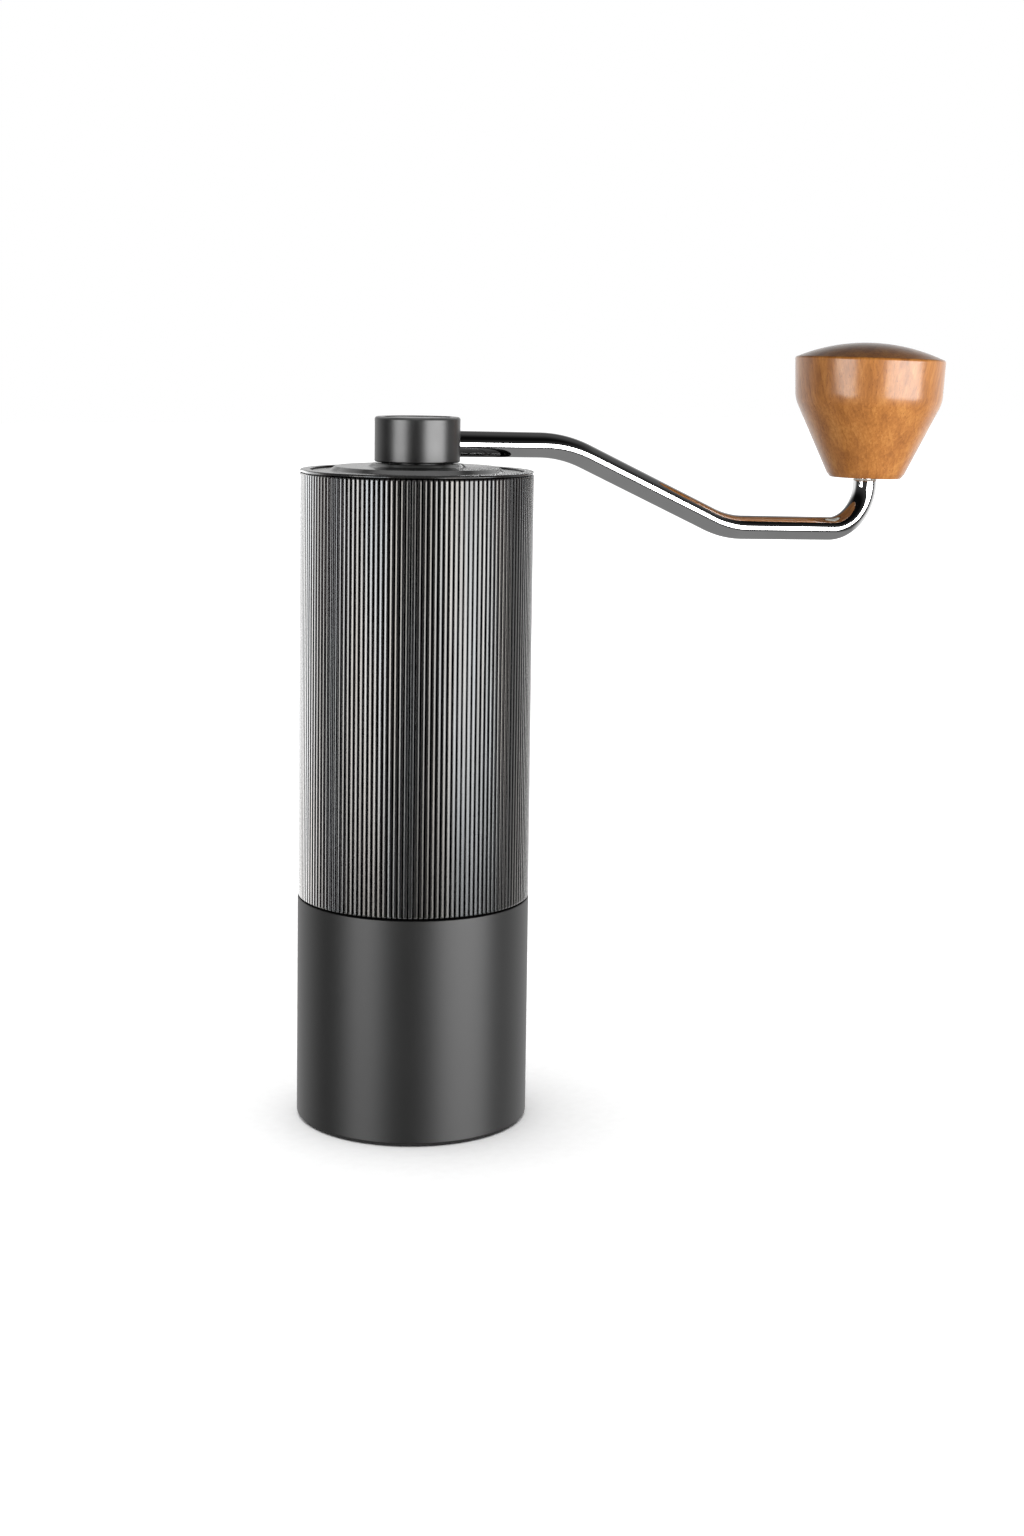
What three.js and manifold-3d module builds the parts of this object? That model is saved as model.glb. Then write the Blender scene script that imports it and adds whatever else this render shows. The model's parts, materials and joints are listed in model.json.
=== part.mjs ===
// Hand crank coffee grinder. A ribbed aluminium housing holds a conical burr set on a shaft in two ball
// bearings. A threaded cup below catches the grounds. The push-in lid carries the crank, whose hub drops
// over the hexagonal top of the shaft, and a turned wooden knob spins on the crank's pin.
//
// Millimetres, +Z up. The origin is the middle of the base, on the surface that the grinder stands on,
// and the crank points along +X.

import * as THREE from 'three';
import { mergeVertices } from 'three/addons/utils/BufferGeometryUtils.js';
import Module from 'manifold-3d';

const wasm = await Module();
wasm.setup();

// ---------------------------------------------------------------- driving dimensions

const clearance = 0.3;
const bodyRadius = 26;
const bodyTop = 146;

const rib = { count: 142, depth: 0.55, top: bodyTop - 0.7 };
const bore = { radius: 23.2, mouthRadius: 23.75, mouthFloor: 143.6 };
const cup = { top: 50.2, wallRadius: 23.6, floorTop: 4.2, floorBottom: 2, rimBottom: 0.4, mouthDepth: 9.3 };
const spigot = { radius: 23.85, boreRadius: 21.5, bottom: 41.5, shoulder: 50.4, ledge: 52 };
const cupSeal = { radius: 23.5, thickness: 1.1, z: 49 };

const carrier = { bottom: 52.25, flange: 55.4, flangeTop: 60, top: 74.1, wallRadius: 21.3 };
const sleeve = { bottom: 74.4, top: 121.7, thickness: 0.65 };
const bracket = { bottom: 122, top: 132.7 };
const ringFit = bore.radius - 0.25;
const snapGroove = { radius: 24.1, bottom: 132.95, top: 134.2 };
const spoke = { count: 3, width: 5, height: 7.5 };
const bearingHub = { radius: 10.5, lipRadius: 6.6, lipHeight: 1.7, height: 8.6 };

const bearing = { boreRadius: 4.15, radius: 8.1, width: 5, ballRadius: 0.9, balls: 7 };
const bearingSeat = { lower: 66.3, upper: 125.7 };

const shaft = { radius: 4, bottom: 29, top: 149.5, hexAcross: 7, flatAcross: 6.4, threadRadius: 3.1 };
const shaftZone = { threadTop: 41.1, flatTop: 61.5, hexBottom: 132.4 };

const outerBurr = { radius: 20.9, bottom: 42.3, top: 55.1, mouth: 15.8, feed: 17, teeth: 10 };
const innerBurr = { radius: 15.2, bottom: 43, top: 62, neck: 7.8, pocketFloor: 54, teeth: 8 };
const burrScrew = { count: 3, circle: 18.9, shankRadius: 1, headRadius: 1.7, headHeight: 1.7 };
const burrSpring = { radius: 5.2, wire: 0.55, turns: 5.5 };

const clickPlate = { radius: 12.5, bottom: 41.25, top: 42.65, dimples: 8 };
const dial = { radius: 13.5, bottom: 33, top: 40.95, lobes: 20, lobeDepth: 0.7, insertRadius: 6 };
const adjustTravel = 1.5;
const detent = { count: 2, circle: 9.6, ballRadius: 1.4, wellRadius: 1.65, wellFloor: 35 };

const lid = {
  flangeRadius: 23.45, flangeTop: 145.6, flangeBottom: 143.9, underside: 143,
  skirtRadius: 22.85, skirtBoreRadius: 20.8, skirtBottom: 137.5,
  plateauRadius: 18.2, plateauTop: 146.7, bossRadius: 9.6, bossTop: 147.45, bossBottom: 136.6,
};
const lidSeal = { radius: 22.45, thickness: 1.1, z: 140.3 };
const lidBush = { innerRadius: 6.25, radius: 7.95, bottom: 136.9, top: 147.2 };

const hub = {
  radius: 9.5, bottom: 147.75, top: 157.7, edge: 0.6,
  sleeveRadius: 6, sleeveBottom: 134, socketAcross: 7.6, socketTop: 149.9,
  capRadius: 7.35, capSeat: 156.3, capTop: 157.5,
};
const hubRing = { grooveRadius: 5.4, radius: 7.6, bottom: 135.5, top: 136.3 };

const crankLength = 133.2;
const arm = { radius: 2.95, start: 5.2, pinRadius: 2.2, pinLength: 19.3, clipGroove: 16.2 };
const knobLean = THREE.MathUtils.degToRad(1.3);
const knobSeat = 141.2;
const knob = {
  footRadius: 8.9, waistRadius: 18.2, rimRadius: 18.85,
  foot: 0.3, coneStart: 1.4, coneEnd: 19.9, rim: 29.8, domeTop: 34.3,
  boreRadius: 4.9, boreTop: 20.5,
};

// Finishes.
const blackAnodised = { color: 0x2a2a29, roughness: 0.42, metalness: 0.75 };
const ribbedAnodised = { color: 0x3c3c3a, roughness: 0.34, metalness: 0.85 };
const polishedSteel = { color: 0xd6d6d4, roughness: 0.07, metalness: 1 };
const machinedSteel = { color: 0xa9abad, roughness: 0.3, metalness: 1 };
const burrSteel = { color: 0x8d8f92, roughness: 0.35, metalness: 1 };
const springSteel = { color: 0x9b9da0, roughness: 0.25, metalness: 1 };
const brass = { color: 0xc79a4b, roughness: 0.3, metalness: 1 };
const rubber = { color: 0x1b1b1b, roughness: 0.85, metalness: 0 };
const nylon = { color: 0xe6e2d6, roughness: 0.55, metalness: 0 };
const blackNylon = { color: 0x242424, roughness: 0.6, metalness: 0 };
const lacqueredWood = { color: 0xbe7c3f, roughness: 0.3, metalness: 0 };

// ---------------------------------------------------------------- solids

// A three.js geometry as a closed solid: shared points are merged and empty triangles dropped.
function toSolid(geometry) {
  const bare = new THREE.BufferGeometry();
  bare.setAttribute('position', geometry.getAttribute('position'));
  bare.setIndex(geometry.index);
  const merged = mergeVertices(bare, 1e-4);
  const corners = merged.index.array;
  const triVerts = [];
  for (let i = 0; i < corners.length; i += 3) {
    const [a, b, c] = corners.slice(i, i + 3);
    if (a !== b && b !== c && c !== a) triVerts.push(a, b, c);
  }
  const vertProperties = new Float32Array(merged.getAttribute('position').array);
  return new wasm.Manifold(
    new wasm.Mesh({ numProp: 3, vertProperties, triVerts: new Uint32Array(triVerts) }),
  );
}

function toGeometry(solid) {
  const mesh = solid.getMesh();
  const geometry = new THREE.BufferGeometry();
  geometry.setAttribute('position', new THREE.BufferAttribute(mesh.vertProperties, 3));
  geometry.setIndex(new THREE.BufferAttribute(mesh.triVerts, 1));
  geometry.computeVertexNormals();
  return geometry;
}

function join(...solids) {
  return solids.reduce((whole, next) => whole.add(next));
}

function cut(solid, ...tools) {
  return tools.reduce((whole, tool) => whole.subtract(tool), solid);
}

// A profile of [radius, height] points turned about Z. It starts and ends on the axis, or closes on itself.
function turnedGeometry(profile, sides) {
  const points = profile.map(([radius, z]) => new THREE.Vector2(radius, z));
  if (profile[0][0] > 0) points.push(points[0].clone());
  return new THREE.LatheGeometry(points, sides).rotateX(Math.PI / 2);
}

function turned(profile, sides = 32) {
  return toSolid(turnedGeometry(profile, sides));
}

function disc(radius, bottom, top, sides = 20) {
  return turned([[0, bottom], [radius, bottom], [radius, top], [0, top]], sides);
}

function ring(innerRadius, radius, bottom, top, sides = 20) {
  return turned([[innerRadius, bottom], [radius, bottom], [radius, top], [innerRadius, top]], sides);
}

function hexagon(across, bottom, top) {
  return disc(across / 2 / Math.cos(Math.PI / 6), bottom, top, 6);
}

function box(sizeX, sizeY, bottom, top, x = 0, y = 0, turn = 0) {
  const geometry = new THREE.BoxGeometry(sizeX, sizeY, top - bottom);
  return toSolid(geometry.translate(x, y, (top + bottom) / 2).rotateZ(turn));
}

// A vertical round bar whose middle is off the grinder's axis.
function post(radius, bottom, top, circle, turn = 0, sides = 10) {
  const profile = [[0, bottom], [radius, bottom], [radius, top], [0, top]];
  return toSolid(turnedGeometry(profile, sides).translate(circle, 0, 0).rotateZ(turn));
}

function extruded(outline, bottom, top, curveSegments = 12) {
  const geometry = new THREE.ExtrudeGeometry(outline, {
    depth: top - bottom,
    bevelEnabled: false,
    curveSegments,
  });
  return toSolid(geometry.translate(0, 0, bottom));
}

// A round rubber ring.
function toroid(radius, thickness, z, sides = 32) {
  return toSolid(new THREE.TorusGeometry(radius, thickness / 2, 4, sides).translate(0, 0, z));
}

// A flat ring with a gap towards -X, as a circlip or a snap ring has.
function openRing(innerRadius, radius, bottom, top, gap, sides = 20) {
  return cut(ring(innerRadius, radius, bottom, top, sides), box(radius, gap, bottom - 1, top + 1, -radius));
}

// A round wire or rod along a curve.
function rodAlong(curve, radius, sides, steps) {
  const section = new THREE.Shape();
  for (let i = 0; i < sides; i += 1) {
    const angle = (i / sides) * Math.PI * 2;
    const point = [radius * Math.cos(angle), radius * Math.sin(angle)];
    if (i === 0) section.moveTo(...point);
    else section.lineTo(...point);
  }
  return toSolid(new THREE.ExtrudeGeometry(section, { extrudePath: curve, steps, bevelEnabled: false }));
}

class Helix extends THREE.Curve {
  constructor(radius, bottom, top, turns) {
    super();
    Object.assign(this, { radius, bottom, top, turns });
  }

  getPoint(t, target = new THREE.Vector3()) {
    const angle = t * this.turns * Math.PI * 2;
    const z = this.bottom + t * (this.top - this.bottom);
    return target.set(this.radius * Math.cos(angle), this.radius * Math.sin(angle), z);
  }
}

function coilSpring(radius, wire, bottom, top, turns, sides, steps) {
  return rodAlong(new Helix(radius, bottom + wire, top - wire, turns), wire, sides, steps);
}

function turnsOf(count) {
  return Array.from({ length: count }, (_, i) => (i / count) * Math.PI * 2);
}

// A wavy outline: a circle with round lobes, for ribs and finger grips.
function lobedOutline(radius, depth, count, pointsPerLobe) {
  const outline = new THREE.Shape();
  const total = count * pointsPerLobe;
  for (let i = 0; i < total; i += 1) {
    const angle = (i / total) * Math.PI * 2;
    const r = radius - (depth / 2) * (1 - Math.cos(angle * count));
    if (i === 0) outline.moveTo(r, 0);
    else outline.lineTo(r * Math.cos(angle), r * Math.sin(angle));
  }
  return outline;
}

// Winds teeth round a turned surface: each point that the test picks moves towards or away from the axis.
function toothed(profile, sides, { teeth, depth, wind, picks }) {
  const geometry = turnedGeometry(profile, sides);
  const positions = geometry.getAttribute('position');
  const point = new THREE.Vector3();
  for (let i = 0; i < positions.count; i += 1) {
    point.fromBufferAttribute(positions, i);
    const radius = Math.hypot(point.x, point.y);
    if (picks(radius, point.z)) {
      const phase = Math.atan2(point.y, point.x) * teeth + wind * point.z;
      const scale = 1 + (depth * (1 - Math.cos(phase))) / 2 / radius;
      positions.setXYZ(i, point.x * scale, point.y * scale, point.z);
    }
  }
  return toSolid(geometry);
}

const grinder = new THREE.Group();

function addPiece(name, solid, finish, parent = grinder) {
  const piece = new THREE.Mesh(toGeometry(solid), new THREE.MeshStandardMaterial(finish));
  piece.name = name;
  parent.add(piece);
}

// ---------------------------------------------------------------- grounds cup

function groundsCup() {
  const edge = 0.5;
  const mouthFloor = cup.top - cup.mouthDepth;
  const mouthRadius = spigot.radius + 0.45;
  const padRecess = bodyRadius - 3.5;
  return turned([
    [0, cup.floorBottom],
    [padRecess, cup.floorBottom],
    [padRecess, cup.rimBottom],
    [bodyRadius - edge, cup.rimBottom],
    [bodyRadius, cup.rimBottom + edge],
    [bodyRadius, cup.top - 0.15],
    [bodyRadius - 0.15, cup.top],
    [mouthRadius, cup.top],
    [mouthRadius, mouthFloor],
    [cup.wallRadius, mouthFloor - 0.7],
    [cup.wallRadius, cup.floorTop + 1],
    [cup.wallRadius - 1, cup.floorTop],
    [0, cup.floorTop],
  ], 40);
}

addPiece('grounds_cup', groundsCup(), blackAnodised);
addPiece('base_pad', disc(bodyRadius - 3.8, 0, cup.floorBottom - 0.2, 32), rubber);
addPiece('cup_seal', toroid(cupSeal.radius, cupSeal.thickness, cupSeal.z), rubber);

// ---------------------------------------------------------------- housing

function housingTube() {
  const rootRadius = bodyRadius - rib.depth;
  const coreRadius = rootRadius - 0.25;
  const sealGroove = cupSeal.thickness / 2 + 0.25;
  const core = turned([
    [spigot.boreRadius, spigot.bottom],
    [spigot.radius - 0.4, spigot.bottom],
    [spigot.radius, spigot.bottom + 0.4],
    [spigot.radius, cupSeal.z - sealGroove],
    [cupSeal.radius - sealGroove, cupSeal.z - sealGroove],
    [cupSeal.radius - sealGroove, cupSeal.z + sealGroove],
    [spigot.radius, cupSeal.z + sealGroove],
    [spigot.radius, spigot.shoulder + 0.6],
    [coreRadius, spigot.shoulder + 0.6],
    [coreRadius, rib.top],
    [rootRadius, rib.top],
    [rootRadius, rib.top + 0.15],
    [bodyRadius - 0.05, rib.top + 0.2],
    [bodyRadius - 0.05, bodyTop - 0.4],
    [bodyRadius - 0.4, bodyTop],
    [bore.mouthRadius, bodyTop],
    [bore.mouthRadius, bore.mouthFloor],
    [bore.radius, bore.mouthFloor],
    [bore.radius, snapGroove.top],
    [snapGroove.radius, snapGroove.top],
    [snapGroove.radius, snapGroove.bottom],
    [bore.radius, snapGroove.bottom],
    [bore.radius, spigot.ledge],
    [spigot.boreRadius, spigot.ledge],
  ], 32);
  const outline = lobedOutline(bodyRadius, rib.depth, rib.count, 2);
  const hollow = new THREE.Path();
  hollow.absarc(0, 0, coreRadius - 0.6, 0, Math.PI * 2);
  outline.holes.push(hollow);
  return join(core, extruded(outline, spigot.shoulder, rib.top, 20));
}

// A bearing in the middle of the bore: a hub with a lip below the bearing, three spokes and an outer ring.
function bearingSpider(seat, ringSolid) {
  const hubBottom = seat - 0.2 - bearingHub.lipHeight;
  const spokeLength = ringFit - bearingHub.radius;
  const spokes = turnsOf(spoke.count).map((turn) => box(
    spokeLength,
    spoke.width,
    hubBottom + 0.3,
    hubBottom + 0.3 + spoke.height,
    bearingHub.radius + spokeLength / 2 - 0.8,
    0,
    turn,
  ));
  const solid = join(ringSolid, disc(bearingHub.radius, hubBottom, hubBottom + bearingHub.height), ...spokes);
  return cut(
    solid,
    disc(bearing.radius + 0.2, seat - 0.2, seat + 20),
    disc(bearingHub.lipRadius, hubBottom - 1, seat),
  );
}

function burrCarrier() {
  const feedRadius = outerBurr.feed + 0.3;
  const wall = turned([
    [outerBurr.radius + 0.4, carrier.bottom],
    [ringFit, carrier.bottom],
    [ringFit, carrier.top],
    [carrier.wallRadius, carrier.top],
    [carrier.wallRadius, carrier.flangeTop + 1.6],
    [feedRadius, carrier.flangeTop],
    [feedRadius, carrier.flange],
    [outerBurr.radius + 0.4, carrier.flange],
  ]);
  const holes = turnsOf(burrScrew.count).map((turn) => (
    post(burrScrew.shankRadius + 0.2, carrier.flange - 1, carrier.flangeTop + 3, burrScrew.circle, turn, 12)
  ));
  return cut(bearingSpider(bearingSeat.lower, wall), ...holes);
}

function upperBracket() {
  const wall = ring(carrier.wallRadius, ringFit, bracket.bottom, bracket.top, 32);
  return bearingSpider(bearingSeat.upper, wall);
}

addPiece('housing_tube', housingTube(), ribbedAnodised);
addPiece('burr_carrier', burrCarrier(), machinedSteel);
addPiece(
  'hopper_sleeve',
  ring(ringFit - sleeve.thickness, ringFit, sleeve.bottom, sleeve.top, 32),
  machinedSteel,
);
addPiece('upper_bracket', upperBracket(), machinedSteel);
addPiece(
  'bracket_snap_ring',
  openRing(
    carrier.wallRadius + 0.6,
    snapGroove.radius - 0.2,
    snapGroove.bottom + 0.15,
    snapGroove.top - 0.2,
    7,
    32,
  ),
  springSteel,
);

// ---------------------------------------------------------------- bearings

const ballCircle = (bearing.boreRadius + bearing.radius) / 2;
const raceGap = 0.25;

function bearingOuterRing(seat) {
  const middle = seat + bearing.width / 2;
  const land = ballCircle + 0.8;
  const half = bearing.ballRadius + 0.2;
  return turned([
    [land, seat],
    [bearing.radius, seat],
    [bearing.radius, seat + bearing.width],
    [land, seat + bearing.width],
    [land, middle + half],
    [ballCircle + bearing.ballRadius + raceGap, middle],
    [land, middle - half],
  ], 16);
}

function bearingInnerRing(seat) {
  const middle = seat + bearing.width / 2;
  const land = ballCircle - 0.8;
  const half = bearing.ballRadius + 0.2;
  return turned([
    [bearing.boreRadius, seat],
    [land, seat],
    [land, middle - half],
    [ballCircle - bearing.ballRadius - raceGap, middle],
    [land, middle + half],
    [land, seat + bearing.width],
    [bearing.boreRadius, seat + bearing.width],
  ], 16);
}

// The balls sit in a cage that carries them round together.
function bearingBalls(seat) {
  const middle = seat + bearing.width / 2;
  const cage = ring(ballCircle - 0.35, ballCircle + 0.35, middle - 0.6, middle + 0.6, 14);
  const balls = turnsOf(bearing.balls).map((turn) => toSolid(
    new THREE.SphereGeometry(bearing.ballRadius, 5, 4).translate(ballCircle, 0, middle).rotateZ(turn),
  ));
  return join(cage, ...balls);
}

for (const [place, seat] of Object.entries(bearingSeat)) {
  addPiece(`${place}_bearing_outer_ring`, bearingOuterRing(seat), machinedSteel);
  addPiece(`${place}_bearing_balls`, bearingBalls(seat), polishedSteel);
  addPiece(`${place}_bearing_inner_ring`, bearingInnerRing(seat), machinedSteel);
}

// ---------------------------------------------------------------- drive shaft

const shaftClip = { grooveRadius: 3.45, radius: 5.9, thickness: 0.8 };
const shaftClipSeats = {
  shaft_circlip_lower: bearingSeat.upper - clearance - shaftClip.thickness,
  shaft_circlip_upper: bearingSeat.upper + bearing.width + clearance,
};
const dialClip = { grooveRadius: 2.3, radius: 4.8, bottom: 30.2, thickness: 0.8 };

function grooveTool(grooveRadius, bottom, thickness) {
  return ring(grooveRadius, shaft.radius + 2, bottom - 0.15, bottom + thickness + 0.15, 16);
}

function driveShaft() {
  const flatsBottom = shaftZone.threadTop;
  const flatWaste = [1, -1].map((side) => box(
    10,
    4,
    flatsBottom,
    shaftZone.flatTop,
    0,
    side * (shaft.flatAcross / 2 + 2),
  ));
  const solid = join(
    disc(shaft.threadRadius, shaft.bottom, flatsBottom + 0.5, 16),
    cut(disc(shaft.radius, flatsBottom, shaftZone.hexBottom + 0.2, 16), ...flatWaste),
    hexagon(shaft.hexAcross, shaftZone.hexBottom, shaft.top),
  );
  const grooves = Object.values(shaftClipSeats).map((seat) => (
    grooveTool(shaftClip.grooveRadius, seat, shaftClip.thickness)
  ));
  return cut(solid, ...grooves, grooveTool(dialClip.grooveRadius, dialClip.bottom, dialClip.thickness));
}

addPiece('drive_shaft', driveShaft(), machinedSteel);
for (const [name, seat] of Object.entries(shaftClipSeats)) {
  const clip = openRing(shaftClip.grooveRadius + 0.2, shaftClip.radius, seat, seat + shaftClip.thickness, 3);
  addPiece(name, clip, springSteel);
}
addPiece(
  'dial_stop_clip',
  openRing(
    dialClip.grooveRadius + 0.2,
    dialClip.radius,
    dialClip.bottom,
    dialClip.bottom + dialClip.thickness,
    3,
  ),
  springSteel,
);

// ---------------------------------------------------------------- burrs

// The hole that fits the shaft's two flats, so a burr or plate turns with the shaft and still slides on it.
function flattedHole(bottom, top) {
  const gap = 0.3;
  const round = disc(shaft.radius + gap, bottom, top, 16);
  return round.intersect(box(12, shaft.flatAcross + gap * 2, bottom, top));
}

function outerBurrSolid() {
  const grindTop = 46;
  const profile = [
    [outerBurr.mouth, outerBurr.bottom],
    [outerBurr.radius, outerBurr.bottom],
    [outerBurr.radius, outerBurr.top],
    [outerBurr.feed, outerBurr.top],
    [outerBurr.feed - 0.35, outerBurr.top - 3],
    [outerBurr.feed - 0.7, outerBurr.top - 6],
    [outerBurr.mouth, grindTop],
  ];
  const body = toothed(profile, 40, {
    teeth: outerBurr.teeth,
    depth: 0.5,
    wind: 0.9,
    picks: (radius) => radius < outerBurr.feed + 0.1,
  });
  const screwTools = turnsOf(burrScrew.count).flatMap((turn) => [
    post(burrScrew.shankRadius + 0.2, outerBurr.bottom - 1, outerBurr.top + 1, burrScrew.circle, turn, 12),
    post(
      burrScrew.headRadius + 0.15,
      outerBurr.bottom - 1,
      outerBurr.bottom + burrScrew.headHeight + 0.5,
      burrScrew.circle,
      turn,
      12,
    ),
  ]);
  return cut(body, ...screwTools);
}

function innerBurrSolid() {
  const grindTop = 45;
  const coneStart = 48.5;
  const pocketRadius = bearingHub.lipRadius;
  const profile = [
    [2, innerBurr.bottom],
    [innerBurr.radius, innerBurr.bottom],
    [innerBurr.radius, grindTop],
    [innerBurr.radius - 1.1, coneStart],
    [innerBurr.radius - 2.9, coneStart + 3.5],
    [innerBurr.radius - 4.7, coneStart + 7],
    [innerBurr.radius - 6.3, coneStart + 10.5],
    [innerBurr.neck, innerBurr.top],
    [pocketRadius, innerBurr.top],
    [pocketRadius, innerBurr.pocketFloor],
    [2, innerBurr.pocketFloor],
  ];
  const body = toothed(profile, 40, {
    teeth: innerBurr.teeth,
    depth: -1,
    wind: -0.35,
    picks: (radius, z) => radius > innerBurr.neck + 0.1 && z > innerBurr.bottom + 0.1,
  });
  return cut(body, flattedHole(innerBurr.bottom - 1, innerBurr.top));
}

function burrScrewSolid(turn) {
  const bottom = outerBurr.bottom + 0.2;
  const driveRecess = post(0.8, bottom - 1, bottom + 0.9, burrScrew.circle, turn, 6);
  return cut(
    join(
      post(burrScrew.headRadius, bottom, bottom + burrScrew.headHeight, burrScrew.circle, turn),
      post(burrScrew.shankRadius, bottom + 1, carrier.flangeTop - 0.5, burrScrew.circle, turn, 12),
    ),
    driveRecess,
  );
}

addPiece('outer_burr', outerBurrSolid(), burrSteel);
turnsOf(burrScrew.count).forEach((turn, i) => {
  addPiece(`burr_screw_${i + 1}`, burrScrewSolid(turn), machinedSteel);
});
addPiece('inner_burr', innerBurrSolid(), burrSteel);
addPiece(
  'burr_spring',
  coilSpring(
    burrSpring.radius,
    burrSpring.wire,
    innerBurr.pocketFloor + 0.2,
    bearingSeat.lower - 0.2,
    burrSpring.turns,
    4,
    48,
  ),
  springSteel,
);

// ---------------------------------------------------------------- grind setting

function clickPlateSolid() {
  const dimples = turnsOf(clickPlate.dimples).map((turn) => (
    post(0.9, clickPlate.bottom - 1, clickPlate.bottom + 0.4, detent.circle, turn, 4)
  ));
  return cut(
    disc(clickPlate.radius, clickPlate.bottom, clickPlate.top, 24),
    flattedHole(clickPlate.bottom - 1, clickPlate.top + 1),
    ...dimples,
  );
}

function adjustingDial() {
  const wells = turnsOf(detent.count).map((turn) => (
    post(detent.wellRadius, detent.wellFloor, dial.top + 1, detent.circle, turn, 12)
  ));
  return cut(
    extruded(lobedOutline(dial.radius, dial.lobeDepth, dial.lobes, 2), dial.bottom, dial.top),
    disc(dial.insertRadius + 0.2, dial.bottom - 1, dial.top + 1, 24),
    ...wells,
  );
}

addPiece('click_plate', clickPlateSolid(), machinedSteel);
addPiece('adjusting_dial', adjustingDial(), blackAnodised);
addPiece(
  'dial_insert',
  ring(
    shaft.threadRadius + 0.25,
    dial.insertRadius,
    dial.bottom,
    shaftZone.threadTop - adjustTravel - clearance,
    24,
  ),
  brass,
);

const ballCentre = dial.top - detent.ballRadius;
turnsOf(detent.count).forEach((turn, i) => {
  const ball = new THREE.SphereGeometry(detent.ballRadius, 8, 5);
  ball.translate(detent.circle, 0, ballCentre).rotateZ(turn);
  addPiece(`detent_ball_${i + 1}`, toSolid(ball), polishedSteel);
  const springHolder = new THREE.Group();
  springHolder.position.set(detent.circle * Math.cos(turn), detent.circle * Math.sin(turn), 0);
  const spring = coilSpring(
    1.05,
    0.22,
    detent.wellFloor + 0.2,
    ballCentre - detent.ballRadius - 0.1,
    3,
    4,
    18,
  );
  addPiece(`detent_spring_${i + 1}`, spring, springSteel, springHolder);
  grinder.add(springHolder);
});

// ---------------------------------------------------------------- lid

function lidPlate() {
  const sealGroove = lidSeal.thickness / 2 + 0.25;
  const bushSeat = lidBush.radius + 0.25;
  const step = new THREE.CubicBezierCurve(
    new THREE.Vector2(lid.plateauRadius + 1.6, lid.flangeTop),
    new THREE.Vector2(lid.plateauRadius + 0.7, lid.flangeTop),
    new THREE.Vector2(lid.plateauRadius + 0.9, lid.plateauTop),
    new THREE.Vector2(lid.plateauRadius, lid.plateauTop),
  );
  const flare = new THREE.QuadraticBezierCurve(
    new THREE.Vector2(lid.bossRadius + 2, lid.plateauTop),
    new THREE.Vector2(lid.bossRadius + 0.6, lid.plateauTop),
    new THREE.Vector2(lid.bossRadius + 0.5, lid.bossTop),
  );
  const asProfile = (curve, divisions) => curve.getPoints(divisions).map((point) => [point.x, point.y]);
  return turned([
    [bushSeat, lid.bossBottom],
    [lid.bossRadius, lid.bossBottom],
    [lid.bossRadius, lid.underside],
    [lid.skirtBoreRadius, lid.underside],
    [lid.skirtBoreRadius, lid.skirtBottom],
    [lid.skirtRadius, lid.skirtBottom],
    [lid.skirtRadius, lidSeal.z - sealGroove],
    [lidSeal.radius - sealGroove, lidSeal.z - sealGroove],
    [lidSeal.radius - sealGroove, lidSeal.z + sealGroove],
    [lid.skirtRadius, lidSeal.z + sealGroove],
    [lid.skirtRadius, lid.flangeBottom],
    [lid.flangeRadius, lid.flangeBottom],
    [lid.flangeRadius, lid.flangeTop - 0.25],
    [lid.flangeRadius - 0.25, lid.flangeTop],
    ...asProfile(step, 2),
    ...asProfile(flare, 2),
    [bushSeat, lid.bossTop],
  ], 32);
}

addPiece('lid_plate', lidPlate(), blackAnodised);
addPiece('lid_seal', toroid(lidSeal.radius, lidSeal.thickness, lidSeal.z), rubber);
addPiece('lid_bush', ring(lidBush.innerRadius, lidBush.radius, lidBush.bottom, lidBush.top), blackNylon);

// ---------------------------------------------------------------- crank

const deg = THREE.MathUtils.degToRad;
const armPlane = (x, z) => new THREE.Vector3(x, 0, z);
const knobAxis = armPlane(Math.sin(knobLean), Math.cos(knobLean));
const knobPivot = armPlane(crankLength, knobSeat);

// The rod leaves the hub almost level, dives over the body's edge, runs out almost level again and turns up.
const armRoute = (() => {
  const hubSlope = Math.tan(deg(-1.45));
  const dipSlope = Math.tan(deg(-22.9));
  const reachSlope = Math.tan(deg(-2.46));
  const start = armPlane(arm.start, 151.7);
  const dipStart = armPlane(39.5, start.z + hubSlope * (39.5 - arm.start));
  const dipEnd = armPlane(87.9, dipStart.z + dipSlope * (87.9 - dipStart.x));
  const cornerX = crankLength - Math.tan(knobLean) * (knobSeat - 128.5);
  const corner = armPlane(cornerX, dipEnd.z + reachSlope * (cornerX - dipEnd.x));
  return { points: [start, dipStart, dipEnd, corner, knobPivot], bendRadii: [36, 30, 11.5] };
})();

// An arc that rounds the corner between two straight stretches.
class Bend extends THREE.Curve {
  constructor(before, corner, after, radius) {
    super();
    const incoming = corner.clone().sub(before).normalize();
    const outgoing = after.clone().sub(corner).normalize();
    this.angle = incoming.angleTo(outgoing);
    this.radius = radius;
    this.incoming = incoming;
    this.inward = outgoing.clone().addScaledVector(incoming, -incoming.dot(outgoing)).normalize();
    this.reach = radius * Math.tan(this.angle / 2);
    this.start = corner.clone().addScaledVector(incoming, -this.reach);
    this.end = corner.clone().addScaledVector(outgoing, this.reach);
  }

  getPoint(t, target = new THREE.Vector3()) {
    const angle = this.angle * t;
    return target.copy(this.start)
      .addScaledVector(this.incoming, this.radius * Math.sin(angle))
      .addScaledVector(this.inward, this.radius * (1 - Math.cos(angle)));
  }
}

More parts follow.
